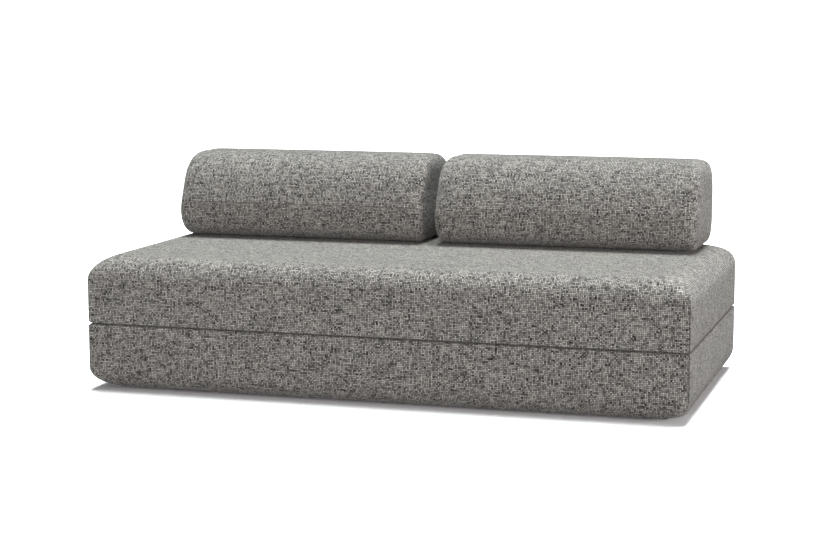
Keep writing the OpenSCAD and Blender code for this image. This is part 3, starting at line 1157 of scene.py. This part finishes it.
# %% Tapes, liner, foam, metal and grip cloth
def fine_weave(name, pitch, dark, light, relief, roughness, u_axis=0, v_axis=2):
    """A fine even weave on two object axes: threads cross at every pitch, and painted shade darkens
    the gaps between them.
    """
    material, tree, shader = new_material(name, Roughness=roughness, Sheen_Weight=0.15)
    axes, place = object_place(tree)
    a = calc(tree, "DIVIDE", axes[u_axis], pitch)
    b = calc(tree, "DIVIDE", axes[v_axis], pitch)
    on_top = odd_cell(tree, calc(tree, "FLOOR", a), calc(tree, "FLOOR", b))
    arch_a = arch_of(tree, calc(tree, "FRACT", a))
    arch_b = arch_of(tree, calc(tree, "FRACT", b))
    arch = blend_of(tree, on_top, arch_a, arch_b)
    drift = times(tree, noise(tree, place, 90.0, 3.0), 0.4)
    # Painted shade: the tone rises with the thread's arch, so the gaps between threads are darker.
    tone = calc(tree, "MULTIPLY_ADD", arch, 0.6, drift)
    tree.links.new(shade(tree, tone, dark, light), shader.inputs["Base Color"])
    tree.links.new(raise_surface(tree, arch, relief), shader.inputs["Normal"])
    return material


def porous(name, scale, dark, light, relief):
    """Foam or fibre: cells of many sizes, with painted shade darkening their hollows."""
    material, tree, shader = new_material(name, Roughness=0.95, Specular_IOR_Level=0.2)
    _, place = object_place(tree)
    cell = tree.nodes.new("ShaderNodeTexVoronoi")
    tree.links.new(place, cell.inputs["Vector"])
    cell.inputs["Scale"].default_value = scale
    drift = times(tree, noise(tree, place, scale / 8, 4.0), 0.4)
    # Painted shade: the further from a cell's centre, the darker, so the hollows are darker.
    tone = calc(tree, "MULTIPLY_ADD", cell.outputs["Distance"], 0.7, drift)
    tree.links.new(shade(tree, tone, light, dark), shader.inputs["Base Color"])
    tree.links.new(raise_surface(tree, less(tree, 1.0, tone), relief), shader.inputs["Normal"])
    return material


def brushed_metal():
    """Zip metal with fine scratches along X and a little tarnish."""
    material, tree, shader = new_material("brushed_zip_metal", Metallic=1.0)
    axes, place = object_place(tree)
    drawn_out = [times(tree, axis, scale) for axis, scale in zip(axes, (60.0, 900.0, 900.0))]
    scratch = noise(tree, vector(tree, *drawn_out), 1.0, 4.0)
    tarnish = noise(tree, place, 120.0, 3.0)
    colour = shade(tree, tarnish, (0.22, 0.21, 0.20), (0.42, 0.41, 0.40))
    tree.links.new(colour, shader.inputs["Base Color"])
    tree.links.new(line(tree, scratch, 0.35, 0.22), shader.inputs["Roughness"])
    tree.links.new(raise_surface(tree, scratch, 0.00004), shader.inputs["Normal"])
    return material


DOT_PITCH = 0.010
DOT_RADIUS = 0.24
DOT_EDGE = 20.0


def dotted_grip():
    """Black non-woven cloth with round rubber dots, DOT_PITCH apart in offset rows.

    Distance from the nearest dot centre is sqrt(x^2 + y^2) of the place in its cell.
    Inside DOT_RADIUS of a pitch the dot stands up, with an edge DOT_EDGE steep.
    """
    material, tree, shader = new_material("dotted_grip", Specular_IOR_Level=0.4)
    axes, place = object_place(tree)
    b = calc(tree, "DIVIDE", axes[1], DOT_PITCH)
    odd_row = calc(tree, "FLOORED_MODULO", calc(tree, "FLOOR", b), 2.0)
    a = plus(tree, calc(tree, "DIVIDE", axes[0], DOT_PITCH), times(tree, odd_row, 0.5))
    x = less(tree, calc(tree, "FRACT", a), 0.5)
    y = less(tree, calc(tree, "FRACT", b), 0.5)
    far = calc(tree, "SQRT", plus(tree, times(tree, x, x), times(tree, y, y)))
    rise = calc(tree, "MAXIMUM", times(tree, less(tree, DOT_RADIUS, far), DOT_EDGE), 0.0)
    dot = calc(tree, "SMOOTH_MIN", rise, 1.0, 0.1)
    fibre = noise(tree, place, 700.0, 3.0)
    tone = calc(tree, "MULTIPLY_ADD", fibre, 0.5, times(tree, dot, 0.4))
    colour = shade(tree, tone, (0.015, 0.015, 0.016), (0.075, 0.073, 0.071))
    tree.links.new(colour, shader.inputs["Base Color"])
    tree.links.new(less(tree, 0.9, times(tree, dot, 0.45)), shader.inputs["Roughness"])
    height = plus(tree, dot, times(tree, fibre, 0.15))
    tree.links.new(raise_surface(tree, height, 0.0006), shader.inputs["Normal"])
    return material


# The numbers are pitch or cells a metre, then the dark and the light grey or colour,
# then the relief in metres, and for a weave its roughness.
PALE_GREY = ((0.50, 0.49, 0.46), (0.78, 0.77, 0.74))
FLUFF_WHITE = ((0.55, 0.54, 0.52), (0.85, 0.84, 0.82))
CORE_BLUE = ((0.30, 0.33, 0.36), (0.55, 0.60, 0.64))
SLEEP_CREAM = ((0.62, 0.56, 0.42), (0.86, 0.80, 0.66))
SIT_GREEN = ((0.45, 0.52, 0.42), (0.68, 0.76, 0.64))
TAPE_BLACK = ((0.012, 0.012, 0.013), (0.060, 0.058, 0.056))
COIL_BLACK = ((0.020, 0.020, 0.021), (0.075, 0.073, 0.072))
MATERIALS = {
    "grip_cloth": dotted_grip(),
    "liner_cloth": fine_weave("liner_weave", 0.0012, *PALE_GREY, 0.0002, 0.9, 0, 1),
    "fibre_wadding": porous("wadding_fluff", 160.0, *FLUFF_WHITE, 0.0015),
    "core_foam": porous("core_foam_cells", 420.0, *CORE_BLUE, 0.0008),
    "sleep_foam": porous("sleep_foam_cells", 380.0, *SLEEP_CREAM, 0.0008),
    "sit_foam": porous("sit_foam_cells", 400.0, *SIT_GREEN, 0.0008),
    "zip_tape": fine_weave("zip_tape_weave", 0.0007, *TAPE_BLACK, 0.00015, 0.85),
    "zip_coil": fine_weave("zip_coil_weave", 0.0009, *COIL_BLACK, 0.0001, 0.45),
    "zip_metal": brushed_metal(),
}
SLOT_OF_PART = {
    "zip_tapes": "zip_tape",
    "zip_stops": "zip_metal",
    "zip_slider": "zip_metal",
    "grip_panel": "grip_cloth",
}
for node_name, node_object in frame["nodes"].items():
    slots = [slot for part, slot in SLOT_OF_PART.items() if node_name.endswith(part)]
    if slots:
        node_object.data.materials.clear()
        node_object.data.materials.append(MATERIALS[slots[0]])
        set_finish(node_object, slots[0])
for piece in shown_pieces():
    if len(piece.data.materials) == 0:
        piece.data.materials.append(MATERIALS[piece["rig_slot"]])
print("materials:", sorted(m.name for m in bpy.data.materials if m.users))
